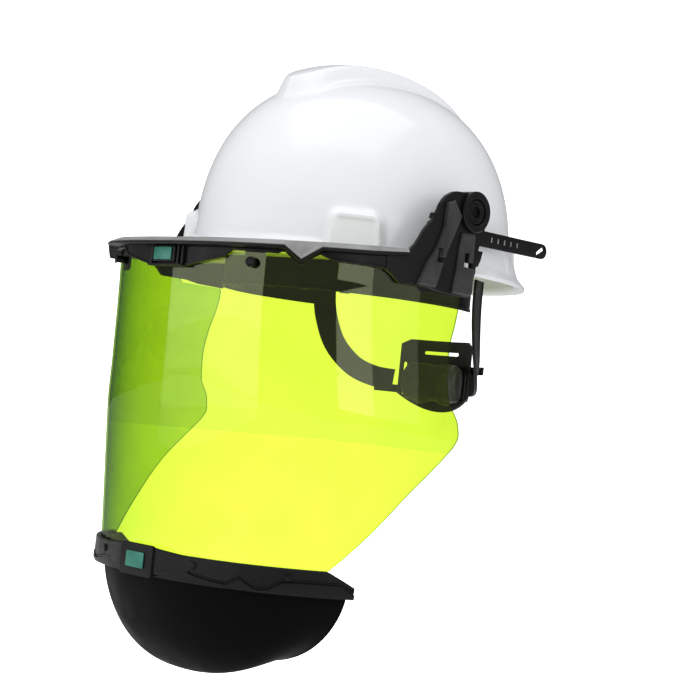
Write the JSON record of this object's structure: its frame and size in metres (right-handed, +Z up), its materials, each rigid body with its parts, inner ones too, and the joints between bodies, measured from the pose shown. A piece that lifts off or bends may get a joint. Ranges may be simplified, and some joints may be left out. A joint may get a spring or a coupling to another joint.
{
  "type": "hard hat",
  "caption": "Slotted cap-style safety helmet with raised crest, ratchet suspension, side brackets, lifting arc-flash visor on a pivoting frame, and chin protector cup.",
  "frame": {"origin": "centre line of the head opening, level with the lower edge of the shell's side walls, where the wearer's head carries the helmet", "axes": "-Y the way the wearer faces, +X the wearer's left, +Z up"},
  "size_m": [0.26, 0.3216, 0.4327],
  "materials": {
    "badge_plastic": "blank green inlay",
    "band_plastic": "flexible black strap plastic",
    "bowl_plastic": "matte black opaque cup",
    "frame_plastic": "satin black moulded nylon",
    "pad_fabric": "soft black cloth over foam",
    "shell_plastic": "gloss white moulded shell",
    "spring_steel": "zinc plated steel",
    "visor_clear": "clear yellow-green arc-rated sheet",
    "webbing": "woven black webbing"
  },
  "bodies": {
    "helmet": {"brow_pad": "pad_fabric", "crown_strap_lower": "webbing", "crown_strap_upper": "webbing", "detent_ring": "spring_steel", "headband": "band_plastic", "nape_cradle": "band_plastic", "nape_pad": "pad_fabric", "nape_strap_left": "band_plastic", "nape_strap_right": "band_plastic", "pivot_nut_left": "frame_plastic", "pivot_nut_right": "frame_plastic", "pivot_pin_left": "spring_steel", "pivot_pin_right": "spring_steel", "ratchet_housing": "band_plastic", "shell": "shell_plastic", "slot_bracket_left": "frame_plastic", "slot_bracket_right": "frame_plastic", "spring_washer_left": "spring_steel", "spring_washer_right": "spring_steel", "suspension_key_front_left": "band_plastic", "suspension_key_front_right": "band_plastic", "suspension_key_rear_left": "band_plastic", "suspension_key_rear_right": "band_plastic"},
    "visor_assembly": {"visor_frame": "frame_plastic", "visor_sheet": "visor_clear", "visor_peg_left": "frame_plastic", "visor_peg_right": "frame_plastic", "chin_band": "frame_plastic", "chin_bowl": "bowl_plastic", "chin_rivet_front_left": "spring_steel", "chin_rivet_front_right": "spring_steel", "chin_rivet_rear_left": "spring_steel", "chin_rivet_rear_right": "spring_steel"},
    "latch": {"latch_button": "frame_plastic", "latch_badge": "badge_plastic"},
    "chin_clip": {"chin_clip": "frame_plastic", "chin_badge": "badge_plastic"},
    "arm_left": {"retention_arm_left": "frame_plastic"},
    "arm_right": {"retention_arm_right": "frame_plastic"},
    "ratchet": {"ratchet_knob": "band_plastic", "ratchet_pinion": "band_plastic"},
    "tail_left": {"rack_tail_left": "band_plastic"},
    "tail_right": {"rack_tail_right": "band_plastic"}
  },
  "joints": [
    {"name": "visor_lift", "type": "hinge", "parent": "helmet", "child": "visor_assembly", "pos_m": [0, -0.011, 0.0352], "axis": [-1, 0, 0], "range_deg": [0, 90]},
    {"name": "latch_press", "type": "slide", "parent": "visor_assembly", "child": "latch", "axis": [0, 1, 0], "range_m": [0, 0.0015], "stiffness_N_per_m": 600, "springref_m": -0.0015},
    {"name": "chin_clip_flex", "type": "hinge", "parent": "visor_assembly", "child": "chin_clip", "pos_m": [0, -0.1658, -0.2075], "axis": [-1, 0, 0], "range_deg": [0, 8], "stiffness_Nm_per_rad": 0.3, "springref_deg": -2.86},
    {"name": "arm_left_slide", "type": "slide", "parent": "helmet", "child": "arm_left", "axis": [0, -1, 0], "range_m": [0, 0.02]},
    {"name": "arm_right_slide", "type": "slide", "parent": "helmet", "child": "arm_right", "axis": [0, -1, 0], "range_m": [0, 0.02]},
    {"name": "ratchet_turn", "type": "hinge", "parent": "helmet", "child": "ratchet", "pos_m": [0, 0.12, -0.0765], "axis": [0, -1, 0], "range_deg": [0, 118]},
    {"name": "tail_left_draw", "type": "hinge", "parent": "helmet", "child": "tail_left", "pos_m": [0, 0.033, -0.0704], "axis": [0, 0, 1], "range_deg": [0, 8.01]},
    {"name": "tail_right_draw", "type": "hinge", "parent": "helmet", "child": "tail_right", "pos_m": [0, 0.033, -0.0826], "axis": [0, 0, -1], "range_deg": [0, 8.01]}
  ],
  "couplings": [
    {"joint": "tail_left_draw", "follows": "ratchet_turn", "ratio": 0.067836},
    {"joint": "tail_right_draw", "follows": "ratchet_turn", "ratio": 0.067836}
  ]
}
